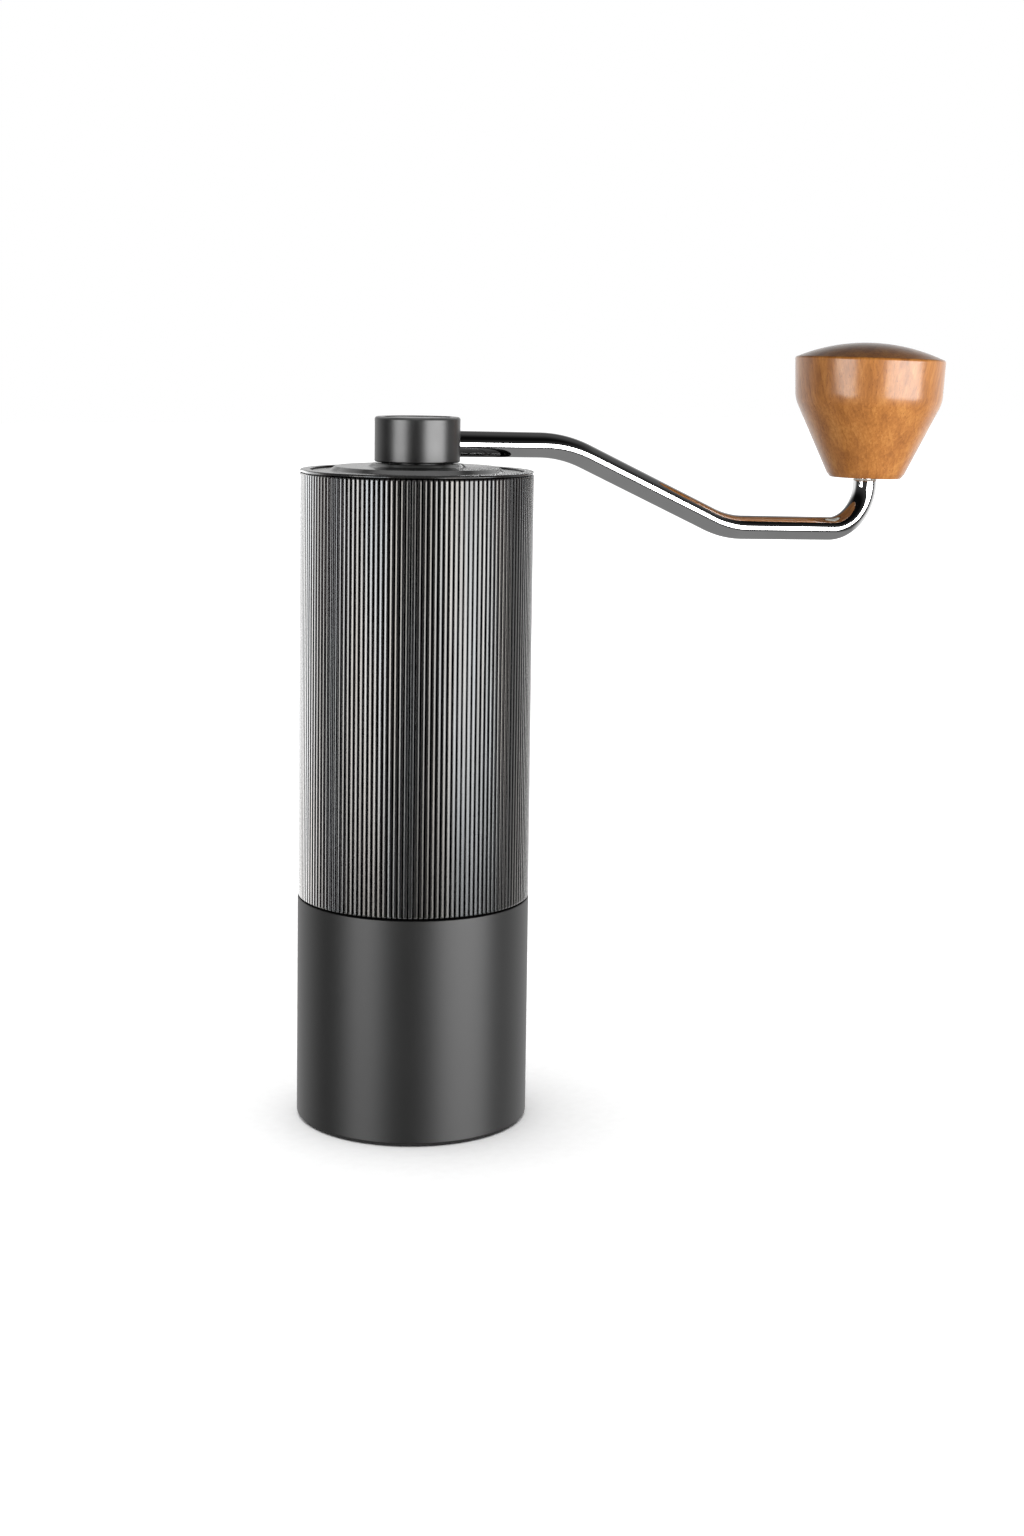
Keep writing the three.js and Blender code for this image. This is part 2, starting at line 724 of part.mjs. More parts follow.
function armCurve() {
  const { points, bendRadii } = armRoute;
  const path = new THREE.CurvePath();
  let from = points[0];
  bendRadii.forEach((radius, i) => {
    const bend = new Bend(points[i], points[i + 1], points[i + 2], radius);
    path.add(new THREE.LineCurve3(from, bend.start));
    path.add(bend);
    from = bend.end;
  });
  path.add(new THREE.LineCurve3(from, points.at(-1)));
  return path;
}

// The crank's pin carries the knob: it is the rod's end, turned down, with a groove for the circlip.
function knobPin() {
  const grooveRadius = arm.pinRadius - 0.6;
  return turnedGeometry([
    [0, -1],
    [arm.pinRadius, -1],
    [arm.pinRadius, arm.clipGroove],
    [grooveRadius, arm.clipGroove],
    [grooveRadius, arm.clipGroove + 1.1],
    [arm.pinRadius, arm.clipGroove + 1.1],
    [arm.pinRadius, arm.pinLength - 0.4],
    [arm.pinRadius - 0.4, arm.pinLength],
    [0, arm.pinLength],
  ], 10);
}

const lockScrew = { x: 7.2, radius: 1.3, bottom: 153.2, top: 156.1 };

function crankArm() {
  const pin = knobPin().rotateY(knobLean).translate(knobPivot.x, 0, knobPivot.z);
  const dimple = post(lockScrew.radius + 0.2, lockScrew.bottom - 0.3, lockScrew.top + 3, lockScrew.x);
  return cut(join(rodAlong(armCurve(), arm.radius, 10, 46), toSolid(pin)), dimple);
}

function crankHub() {
  const grooveBottom = hubRing.bottom - 0.15;
  const grooveTop = hubRing.top + 0.15;
  const body = turned([
    [0, hub.sleeveBottom],
    [hub.sleeveRadius, hub.sleeveBottom],
    [hub.sleeveRadius, grooveBottom],
    [hubRing.grooveRadius, grooveBottom],
    [hubRing.grooveRadius, grooveTop],
    [hub.sleeveRadius, grooveTop],
    [hub.sleeveRadius, hub.bottom],
    [hub.radius - 0.3, hub.bottom],
    [hub.radius, hub.bottom + 0.3],
    [hub.radius, hub.top - hub.edge],
    [hub.radius - 0.18, hub.top - 0.18],
    [hub.radius - hub.edge, hub.top],
    [hub.capRadius + 0.25, hub.top],
    [hub.capRadius + 0.25, hub.capSeat],
    [0, hub.capSeat],
  ], 28);
  const socket = hexagon(hub.socketAcross, hub.sleeveBottom - 1, hub.socketTop);
  const [start, dipStart] = armRoute.points;
  const inward = start.clone().sub(dipStart).normalize();
  const boreStart = start.clone().addScaledVector(inward, 0.3);
  const armBore = rodAlong(new THREE.LineCurve3(boreStart, dipStart), arm.radius + 0.3, 12, 1);
  const screwHole = post(lockScrew.radius + 0.2, start.z, hub.top + 1, lockScrew.x);
  return cut(body, socket, armBore, screwHole);
}

function armLockScrew() {
  const body = post(lockScrew.radius, lockScrew.bottom, lockScrew.top, lockScrew.x);
  return cut(body, post(0.65, lockScrew.top - 1.2, lockScrew.top + 1, lockScrew.x, 0, 6));
}

addPiece('crank_hub', crankHub(), blackAnodised);
addPiece('hub_cap', turned([
  [0, hub.capSeat + 0.25],
  [hub.capRadius, hub.capSeat + 0.25],
  [hub.capRadius, hub.capTop - 0.2],
  [hub.capRadius - 0.2, hub.capTop],
  [0, hub.capTop],
], 28), blackAnodised);
addPiece('crank_arm', crankArm(), polishedSteel);
addPiece('arm_lock_screw', armLockScrew(), machinedSteel);
addPiece(
  'hub_retaining_ring',
  openRing(hubRing.grooveRadius + 0.2, hubRing.radius, hubRing.bottom, hubRing.top, 4),
  springSteel,
);

// ---------------------------------------------------------------- knob

// Everything on the pin is drawn upright about the pin and leans with it.
const knobGroup = new THREE.Group();
knobGroup.position.copy(knobPivot);
knobGroup.rotation.y = knobLean;
grinder.add(knobGroup);

function woodKnob() {
  const rimEdge = 0.7;
  const domeRadius = knob.rimRadius - rimEdge;
  const domeFoot = knob.rim + rimEdge;
  const rise = knob.domeTop - domeFoot;
  const sphere = (domeRadius ** 2 + rise ** 2) / (2 * rise);
  const domeSteps = 4;
  const dome = Array.from({ length: domeSteps + 1 }, (_, i) => {
    const radius = domeRadius * (1 - i / domeSteps);
    return [radius, knob.domeTop - sphere + Math.sqrt(sphere ** 2 - radius ** 2)];
  });
  return turned([
    [0, knob.boreTop],
    [knob.boreRadius, knob.boreTop],
    [knob.boreRadius, knob.foot],
    [knob.footRadius - 0.5, knob.foot],
    [knob.footRadius + 0.35, knob.foot + 0.35],
    [knob.footRadius + 0.9, knob.coneStart],
    [knob.waistRadius - 0.8, knob.coneEnd - 1.6],
    [knob.waistRadius, knob.coneEnd + 1],
    [knob.rimRadius, knob.rim],
    [knob.rimRadius - 0.2, knob.rim + 0.5],
    ...dome,
  ], 32);
}

addPiece('wood_knob', woodKnob(), lacqueredWood, knobGroup);
addPiece(
  'knob_bush',
  ring(arm.pinRadius + 0.3, knob.boreRadius - 0.3, 1.05, arm.clipGroove - 0.2),
  brass,
  knobGroup,
);
addPiece(
  'knob_washer',
  ring(arm.pinRadius + 0.25, knob.boreRadius - 0.5, 0.2, 0.75),
  nylon,
  knobGroup,
);
addPiece(
  'knob_circlip',
  openRing(arm.pinRadius - 0.4, 3.7, arm.clipGroove + 0.15, arm.clipGroove + 0.95, 2.4),
  springSteel,
  knobGroup,
);

export default grinder;
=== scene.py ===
import json
import math

import bpy
from mathutils import Matrix, Vector


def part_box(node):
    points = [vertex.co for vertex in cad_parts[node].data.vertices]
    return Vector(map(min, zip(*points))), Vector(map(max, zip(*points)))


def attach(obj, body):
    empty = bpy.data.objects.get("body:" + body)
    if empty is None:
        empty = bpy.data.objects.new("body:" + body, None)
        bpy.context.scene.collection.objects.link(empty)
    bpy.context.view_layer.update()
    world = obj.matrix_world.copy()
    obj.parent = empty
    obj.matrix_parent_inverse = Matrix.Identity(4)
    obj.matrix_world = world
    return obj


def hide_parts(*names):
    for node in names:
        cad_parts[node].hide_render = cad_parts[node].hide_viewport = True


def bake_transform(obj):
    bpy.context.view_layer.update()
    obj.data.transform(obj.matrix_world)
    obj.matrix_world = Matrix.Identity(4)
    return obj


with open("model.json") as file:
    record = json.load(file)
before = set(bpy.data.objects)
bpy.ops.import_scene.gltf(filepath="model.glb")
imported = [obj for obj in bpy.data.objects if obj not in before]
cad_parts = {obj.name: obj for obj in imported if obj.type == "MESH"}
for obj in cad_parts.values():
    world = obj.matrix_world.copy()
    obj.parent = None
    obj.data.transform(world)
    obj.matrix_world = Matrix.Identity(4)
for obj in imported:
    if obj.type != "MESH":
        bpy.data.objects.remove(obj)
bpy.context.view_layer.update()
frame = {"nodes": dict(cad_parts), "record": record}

record = frame["record"]
BODY_OF = {node: body for body, nodes in record["behaviour"]["bodies"].items() for node in nodes}
SLOT_OF = {part["node"]: part["material_slot"] for part in record["subparts"]}

MM = 0.001
TURN = 2 * math.pi
TIP = 1e-6
RIBS = 142
RIB_DEPTH = 0.55


def span(node):
    """Lowest and highest corner of a CAD node, in millimetres."""
    low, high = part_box(node)
    return low / MM, high / MM


# ---------------------------------------------------------------- mesh helpers


def rounded(*corners, steps=5):
    """A line of points through (radius, height[, fillet]) corners, with an arc where there is a fillet."""
    line = []
    for i, (radius, height, *fillet) in enumerate(corners):
        here = Vector((radius, height))
        if not fillet:
            line.append(tuple(here))
            continue
        back = (Vector(corners[i - 1][:2]) - here).normalized()
        ahead = (Vector(corners[(i + 1) % len(corners)][:2]) - here).normalized()
        half = back.angle(ahead) / 2
        centre = here + (back + ahead).normalized() * fillet[0] / math.sin(half)
        start = here + back * fillet[0] / math.tan(half) - centre
        end = here + ahead * fillet[0] / math.tan(half) - centre
        opening = start.angle_signed(end)
        for k in range(steps + 1):
            angle = -opening * k / steps
            line.append((
                centre.x + start.x * math.cos(angle) - start.y * math.sin(angle),
                centre.y + start.x * math.sin(angle) + start.y * math.cos(angle),
            ))
    return line


def skin(rings, columns):
    """Faces between neighbouring rings of vertex numbers. A ring that repeats one number is a tip."""
    faces = []
    for low, high in zip(rings, rings[1:]):
        for k in range(columns):
            n = (k + 1) % columns
            loop = list(dict.fromkeys((low[k], low[n], high[n], high[k])))
            if len(loop) > 2:
                faces.append(loop)
    return faces


def lathe(line, columns, ripple=None):
    """Vertices and faces of a line of (radius, height) points turned about Z. A line that doesn't start on
    the axis closes on itself. ripple(angle, radius, height) adds to the radius."""
    verts, rings = [], []
    for radius, height in line:
        first = len(verts)
        if radius < TIP:
            verts.append((0, 0, height))
            rings.append([first] * columns)
            continue
        for k in range(columns):
            angle = TURN * k / columns
            out = radius + (ripple(angle, radius, height) if ripple else 0)
            verts.append((out * math.cos(angle), out * math.sin(angle), height))
        rings.append(range(first, first + columns))
    if line[0][0] > TIP:
        rings.append(rings[0])
    return verts, skin(rings, columns)


def ring_about(middle, across, upward, radius, columns):
    """Points evenly round a circle in the plane of two unit vectors."""
    points = []
    for k in range(columns):
        angle = TURN * k / columns
        points.append(tuple(middle + radius * (math.cos(angle) * across + math.sin(angle) * upward)))
    return points


def sweep(stations, columns):
    """Vertices and faces of a round rod. Each station is (x, z, the way it faces in radians, radius)."""
    verts, rings = [], []
    for x, z, heading, radius in stations:
        first = len(verts)
        if radius < TIP:
            verts.append((x, 0, z))
            rings.append([first] * columns)
            continue
        middle = Vector((x, 0, z))
        across = Vector((math.sin(heading), 0, -math.cos(heading)))
        verts += ring_about(middle, across, Vector((0, 1, 0)), radius, columns)
        rings.append(range(first, first + columns))
    return verts, skin(rings, columns)


def coil(radius, wire, bottom, top, turns, steps=48, columns=12, flat_ends=0.75):
    """A coil spring of round wire about Z. flat_ends is how far its end turns lie down, from 0 to 1."""
    stations = round(turns * steps)
    verts, rings = [], []
    for i in range(stations + 1):
        t = i / stations
        angle = TURN * turns * t
        eased = t - flat_ends * math.sin(TURN * t) / TURN
        outward = Vector((math.cos(angle), math.sin(angle), 0))
        middle = radius * outward + Vector((0, 0, bottom + (top - bottom) * eased))
        verts += ring_about(middle, outward, Vector((0, 0, 1)), wire, columns)
        rings.append(range(i * columns, (i + 1) * columns))
    return verts, [rings[0], *skin(rings[::-1], columns), rings[-1][::-1]]


def ring_line(inner, outer, bottom, top, edge=0.15):
    """The outline of a plain ring or sleeve."""
    return rounded(
        (inner, bottom, edge), (outer, bottom, edge), (outer, top, edge), (inner, top, edge), steps=2,
    )


def toroid_line(radius, thickness, height, steps=14):
    """The outline of an O-ring."""
    half = thickness / 2
    return [
        (radius + half * math.cos(TURN * k / steps), height + half * math.sin(TURN * k / steps))
        for k in range(steps)
    ]


def smooth(obj, sharp_degrees=38):
    """Smooth shading that keeps the edges sharper than sharp_degrees."""
    obj.data.shade_smooth()
    obj.data.set_sharp_from_angle(angle=math.radians(sharp_degrees))


def new_mesh(name, verts, faces):
    mesh = bpy.data.meshes.new(name)
    mesh.from_pydata([tuple(Vector(v) * MM) for v in verts], [], faces)
    return mesh


def fine(node, *meshes, sharp_degrees=38, matrix=None, stretch=None):
    """One fine piece, in millimetres, that rides with a CAD node's body and stands for that node. With
    stretch, it is baked where it stands and rides with no body; the bodies and heights in stretch are not
    read."""
    name = f"{node}_fine"
    verts, faces = [], []
    for more_verts, more_faces in meshes:
        faces += [[index + len(verts) for index in face] for face in more_faces]
        verts += more_verts
    mesh = new_mesh(name, verts, faces)
    if matrix:
        mesh.transform(matrix)
    mesh.validate()
    obj = bpy.data.objects.new(name, mesh)
    bpy.context.scene.collection.objects.link(obj)
    smooth(obj, sharp_degrees)
    obj.modifiers.new("even shading", "WEIGHTED_NORMAL").keep_sharp = True
    if stretch:
        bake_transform(obj)
    else:
        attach(obj, BODY_OF[node])
    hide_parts(node)
    obj.data.materials.append(finish_of(node))
    return obj


def drill(obj, meshes, sharp_degrees=38):
    """Cuts closed shapes, in millimetres, out of a fine piece."""
    cutters = []
    for verts, faces in meshes:
        cutter = bpy.data.objects.new("cutter", new_mesh("cutter", verts, faces))
        bpy.context.scene.collection.objects.link(cutter)
        modifier = obj.modifiers.new("cut", "BOOLEAN")
        modifier.operation, modifier.solver, modifier.object = "DIFFERENCE", "EXACT", cutter
        cutters.append(cutter)
    shading = obj.modifiers["even shading"]
    shading.show_viewport = False
    bpy.context.view_layer.update()
    evaluated = obj.evaluated_get(bpy.context.evaluated_depsgraph_get())
    obj.data = bpy.data.meshes.new_from_object(evaluated)
    for modifier in [m for m in obj.modifiers if m.type == "BOOLEAN"]:
        obj.modifiers.remove(modifier)
    shading.show_viewport = True
    for cutter in cutters:
        bpy.data.meshes.remove(cutter.data)
    smooth(obj, sharp_degrees)


def peg(radius, bottom, top, x=0, y=0, columns=32):
    """A plain upright cylinder."""
    verts, faces = lathe([(0, bottom), (radius, bottom), (radius, top), (0, top)], columns)
    return [(vx + x, vy + y, vz) for vx, vy, vz in verts], faces


def thread(pitch, depth, bottom, top, at_radius, reach=0.6):
    """A ripple that cuts a helical thread into the surface near at_radius, fading out at both ends."""
    def ripple(angle, radius, height):
        if abs(radius - at_radius) > reach or not bottom < height < top:
            return 0
        fade = min(1, (height - bottom) / pitch, (top - height) / pitch)
        phase = (height / pitch - angle / TURN) % 1
        return depth * fade * (1 - abs(2 * phase - 1))
    return ripple


def rows(radius, bottom, top, count):
    """A straight upright stretch of outline, divided evenly."""
    return [(radius, bottom + (top - bottom) * k / count) for k in range(count + 1)]


# ---------------------------------------------------------------- finishes


def add(tree, kind, inputs=(), **settings):
    """A shader node. inputs is {socket: value or the socket that feeds it}."""
    node = tree.nodes.new("ShaderNode" + kind)
    for key, value in settings.items():
        setattr(node, key, value)
    for key, value in dict(inputs).items():
        if isinstance(value, bpy.types.NodeSocket):
            tree.links.new(value, node.inputs[key])
        else:
            node.inputs[key].default_value = value
    return node


def maths(tree, operation, first, second=0.0):
    return add(tree, "Math", {0: first, 1: second}, operation=operation).outputs[0]


def new_material(name):
    material = bpy.data.materials.new(name)
    material.use_nodes = True
    shader = material.node_tree.nodes["Principled BSDF"]
    return material, material.node_tree, shader


def stretched(tree, scale, turn=(0, 0, 0), shift=(0, 0, 0)):
    """Position on the piece, times scale per metre along each axis."""
    position = add(tree, "TexCoord").outputs["Object"]
    turned = add(tree, "Mapping", {"Vector": position, "Rotation": turn, "Location": shift}).outputs[0]
    return add(tree, "VectorMath", {0: turned, 1: scale}, operation="MULTIPLY").outputs[0]


def noise(tree, scale, detail=3.0, roughness=0.5, **places):
    """Noise from 0 to 1. scale is per metre, along x, y and z."""
    vector = stretched(tree, scale, **places)
    inputs = {"Vector": vector, "Scale": 1.0, "Detail": detail, "Roughness": roughness}
    return add(tree, "TexNoise", inputs).outputs[0]


def from_axis(tree, position):
    """Distance from Z and height, in metres, of a position."""
    x, y, height = add(tree, "SeparateXYZ", {0: position}).outputs
    squares = maths(tree, "ADD", maths(tree, "MULTIPLY", x, x), maths(tree, "MULTIPLY", y, y))
    return maths(tree, "SQRT", squares), height


def turning_marks(tree, per_metre):
    """Noise that only changes with the distance from Z and with height, as a lathe tool leaves it."""
    radius, height = from_axis(tree, add(tree, "TexCoord").outputs["Object"])
    place_on = add(tree, "CombineXYZ", {0: radius, 1: height}).outputs[0]
    inputs = {"Vector": place_on, "Scale": per_metre, "Detail": 3.0, "Roughness": 0.6}
    return add(tree, "TexNoise", inputs).outputs[0]


def ramp(tree, factor, stops):
    """A colour ramp through (position, (red, green, blue)) stops."""
    node = add(tree, "ValToRGB", {0: factor})
    elements = node.color_ramp.elements
    while len(elements) < len(stops):
        elements.new(0.5)
    for element, (position, colour) in zip(elements, stops):
        element.position = position
        element.color = (*colour, 1)
    return node.outputs[0]


def between(tree, factor, low, high):
    """factor 0..1 mapped to low..high."""
    return add(tree, "MapRange", {"Value": factor, "To Min": low, "To Max": high}).outputs[0]


def eased(tree, value, first, last, low=0.0, high=1.0):
    """value first..last mapped softly to low..high."""
    ends = {"Value": value, "From Min": first, "From Max": last, "To Min": low, "To Max": high}
    return add(tree, "MapRange", ends, interpolation_type="SMOOTHSTEP").outputs[0]


def times(tree, colour, other):
    mixed = add(tree, "Mix", {0: 1.0, 6: colour, 7: other}, data_type="RGBA", blend_type="MULTIPLY")
    return mixed.outputs[2]


def bump(tree, shader, height, distance, coat=False):
    normal = add(tree, "Bump", {"Height": height, "Distance": distance, "Strength": 1.0}).outputs[0]
    tree.links.new(normal, shader.inputs["Normal"])
    if coat:
        tree.links.new(normal, shader.inputs["Coat Normal"])


def grey(value, tint=(1, 1, 1)):
    return tuple(value * t for t in tint)


def metal(name, colours, roughness, marks=4000, relief=2e-6, grain=None):
    """A bare metal with turning marks or, with grain, streaks of that stretch."""
    material, tree, shader = new_material(name)
    mark = noise(tree, grain) if grain else turning_marks(tree, marks)
    cloud = noise(tree, (90, 90, 90), detail=4)
    tree.links.new(ramp(tree, cloud, [(0.3, colours[0]), (0.7, colours[1])]), shader.inputs["Base Color"])
    tree.links.new(between(tree, mark, *roughness), shader.inputs["Roughness"])
    shader.inputs["Metallic"].default_value = 1.0
    bump(tree, shader, mark, relief)
    return material


def ribbed_anodising():
    """Black anodising whose base colour follows the radius: painted shade makes the valleys near black, and
    painted sheen lifts the crests.
    """
    material, tree, shader = new_material("ribbed_anodising")
    streaks = noise(tree, (700, 700, 12), detail=4, roughness=0.6)
    scratches = noise(tree, (5200, 5200, 260), detail=3)
    tint = noise(tree, (190, 190, 9), detail=2, shift=(3, 1, 2))
    radius, _ = from_axis(tree, add(tree, "TexCoord").outputs["Object"])
    crest_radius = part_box("housing_tube")[1].x
    limits = {"Value": radius, "From Min": crest_radius - RIB_DEPTH * MM, "From Max": crest_radius}
    outward = add(tree, "MapRange", limits).outputs[0]
    # Painted shade and sheen: the base colour falls to near black towards the valley floors and rises on the
    # crests to brighten their highlights.
    painted_rib_shade = ramp(tree, outward, [
        (0.0, grey(0.003)), (0.7, grey(0.006)), (0.87, grey(0.04)), (1.0, grey(0.115)),
    ])
    warm = ramp(tree, tint, [(0.38, (0.97, 1.0, 1.03)), (0.62, (1.04, 1.0, 0.96))])
    streaked = ramp(tree, streaks, [(0.3, grey(0.72)), (0.7, grey(1.15))])
    tree.links.new(times(tree, times(tree, painted_rib_shade, warm), streaked), shader.inputs["Base Color"])
    tree.links.new(between(tree, scratches, 0.18, 0.26), shader.inputs["Roughness"])
    shader.inputs["Metallic"].default_value = 1.0
    bump(tree, shader, scratches, 3e-7)
    return material


def blasted(name, low, high, roughness, relief, metallic=0.0):
    """Bead-blasted and dyed: a fine even grain with slight clouds."""
    material, tree, shader = new_material(name)
    grain = noise(tree, (5200, 5200, 5200), detail=3, roughness=0.7)
    cloud = noise(tree, (110, 110, 60), detail=4)
    tree.links.new(ramp(tree, cloud, [(0.3, low), (0.7, high)]), shader.inputs["Base Color"])
    tree.links.new(between(tree, grain, *roughness), shader.inputs["Roughness"])
    shader.inputs["Metallic"].default_value = metallic
    bump(tree, shader, grain, relief)
    return material


def wood():
    """Year rings, fibres and pores along a grain that leans a little, under clear lacquer."""
    material, tree, shader = new_material("lacquered_wood")
    lean = (math.radians(9), math.radians(-13), 0)
    rings_per_metre = 430
    wander = noise(tree, (120, 120, 22), detail=3, turn=lean)
    position = stretched(tree, (1, 1, 1), turn=lean, shift=(-0.075, 0.012, 0))
    from_pith, _ = from_axis(tree, position)
    count = maths(tree, "MULTIPLY", from_pith, rings_per_metre)
    year = maths(tree, "FRACT", maths(tree, "ADD", count, maths(tree, "MULTIPLY", wander, 3.2)))
    late = ramp(tree, year, [(0.0, grey(0.15)), (0.72, grey(0.55)), (0.93, grey(1.0)), (1.0, grey(0.2))])
    fibre = noise(tree, (1500, 1500, 45), detail=5, roughness=0.65, turn=lean)
    broad = noise(tree, (260, 260, 16), detail=3, turn=lean, shift=(1, 0, 3))
    pores = noise(tree, (3600, 3600, 170), detail=2, turn=lean)
    tone = maths(tree, "MULTIPLY", late, 0.08)
    for pattern, share in ((fibre, 0.46), (broad, 0.50)):
        tone = maths(tree, "ADD", tone, maths(tree, "MULTIPLY", pattern, share))
    colour = ramp(tree, tone, [
        (0.34, (0.66, 0.29, 0.068)),
        (0.50, (0.50, 0.185, 0.034)),
        (0.66, (0.34, 0.115, 0.018)),
        (0.85, (0.21, 0.065, 0.010)),
    ])
    pore = ramp(tree, pores, [(0.62, grey(1.0)), (0.74, (0.6, 0.5, 0.44))])
    tree.links.new(times(tree, colour, pore), shader.inputs["Base Color"])
    tree.links.new(between(tree, fibre, 0.38, 0.55), shader.inputs["Roughness"])
    shader.inputs["Coat Weight"].default_value = 1.0
    shader.inputs["Coat Roughness"].default_value = 0.22
    shader.inputs["Coat IOR"].default_value = 1.4
    ripple = noise(tree, (160, 160, 60), detail=1)
    bump(tree, shader, maths(tree, "ADD", maths(tree, "MULTIPLY", fibre, 0.12), ripple), 2.5e-5, coat=True)
    return material


def soft_stuff(name, low, high, roughness, relief, scale=1400):
    """Rubber or plastic."""
    material, tree, shader = new_material(name)
    grain = noise(tree, (scale, scale, scale), detail=3)
    tree.links.new(ramp(tree, grain, [(0.3, low), (0.7, high)]), shader.inputs["Base Color"])
    tree.links.new(between(tree, grain, *roughness), shader.inputs["Roughness"])
    bump(tree, shader, grain, relief)
    return material


STEEL_TINT = (1, 1.01, 1.03)
finishes = {
    "grounds_cup": blasted("satin_charcoal", grey(0.0035), grey(0.0055), (0.37, 0.47), 5e-6),
    "ribbed_black_aluminium": ribbed_anodising(),
    "black_aluminium": blasted("black_anodising", grey(0.058), grey(0.074), (0.3, 0.4), 8e-7, metallic=1.0),
    "lid_plate": blasted("black_turned_lid", grey(0.05), grey(0.07), (0.2, 0.27), 3e-8, metallic=1.0),
    "polished_steel": metal(
        "polished_steel", (grey(0.74), grey(0.82)), (0.03, 0.06), relief=2e-8, grain=(900, 900, 900),
    ),
    "machined_steel": metal("machined_steel", (grey(0.42), grey(0.56, STEEL_TINT)), (0.22, 0.38)),
    "burr_steel": metal("burr_steel", (grey(0.3), grey(0.4, STEEL_TINT)), (0.25, 0.42), marks=6000),
    "spring_steel": metal("spring_steel", (grey(0.3), grey(0.44)), (0.18, 0.32), grain=(3000, 3000, 3000)),
    "brass": metal("brass", ((0.60, 0.40, 0.15), (0.76, 0.53, 0.22)), (0.18, 0.32)),
    "rubber": soft_stuff("rubber", grey(0.010), grey(0.018), (0.7, 0.9), 1.5e-5),
    "nylon": soft_stuff("nylon", (0.70, 0.67, 0.60), (0.80, 0.78, 0.72), (0.45, 0.6), 1e-5),
    "black_nylon": soft_stuff("black_nylon", grey(0.016), grey(0.026), (0.5, 0.65), 1e-5),
    "lacquered_wood": wood(),
}


def finish_of(node):
    """A node's own finish, or else the finish of its slot."""
    return finishes.get(node) or finishes[SLOT_OF[node]]


for node, obj in frame["nodes"].items():
    obj.data.materials.clear()
    obj.data.materials.append(finish_of(node))
    smooth(obj)


# ---------------------------------------------------------------- cup and base

CUP_PITCH = 1.5
CUP_WALL = 2.4
MOUTH_WALL = 1.75
CUP_FLOOR = 3.8
FOOT_RECESS = 1.6
FOOT_RIM = 3.5


def cup():
    low, high = span("grounds_cup")
    radius, bottom, top = high.x, low.z, high.z
    wall, mouth = radius - CUP_WALL, radius - MOUTH_WALL
    inside, recess, rim = bottom + CUP_FLOOR, bottom + FOOT_RECESS, radius - FOOT_RIM
    thread_zone = (top - 8.6, top - 2.4)
    ledge = top - 9.3
    outline = [
        (0, recess),
        *rounded((0, recess), (rim, recess, 0.3), (rim, bottom, 0.2), (radius, bottom, 0.6),
                 (radius, top, 0.25), (mouth, top, 0.3), (mouth, ledge))[1:-1],
        *reversed(rows(mouth, *thread_zone, 44)),
        *rounded((mouth, thread_zone[1]), (mouth, ledge, 0.3), (wall, top - 10, 0.3), (wall, inside, 1.6),
                 (0, inside))[1:],
    ]
    fine("grounds_cup", lathe(outline, 160, thread(CUP_PITCH, 0.32, *thread_zone, mouth)))


def seal_groove(seal):
    """Bottom and top of the groove that an O-ring sits in."""
    low, high = span(seal)
    middle = (low.z + high.z) / 2
    return middle - 0.8, middle + 0.8


def disc_line(low, high, bottom_edge, top_edge):
    """The outline of a solid disc that fills a box."""
    corners = rounded((0, low.z), (high.x, low.z, bottom_edge), (high.x, high.z, top_edge), (0, high.z))
    return [(0, low.z), *corners[1:]]


cup()
fine("base_pad", lathe(disc_line(*span("base_pad"), 0.3, 0.2), 96))
for node in ("cup_seal", "lid_seal"):
    low, high = span(node)
    thickness = high.z - low.z
    fine(node, lathe(toroid_line(high.x - thickness / 2, thickness, (low.z + high.z) / 2), 128))

# ---------------------------------------------------------------- housing

RIB_COLUMNS = 12
CREST_SHARE = 2 / 3
CREST_FALL = 0.12
SHOULDER_DROP = 0.055
SPIGOT_STEP = 2.15
SPIGOT_WALL = 2.35
BODY_WALL = 2.8
CORE_STEP = 0.8
RIM_LIP = 0.16
LID_RECESS = 0.55
LID_SHELF = 2.4
SNAP_RING_RECESS = 0.9
SNAP_RING_GROOVE = (11.8, 13.05)


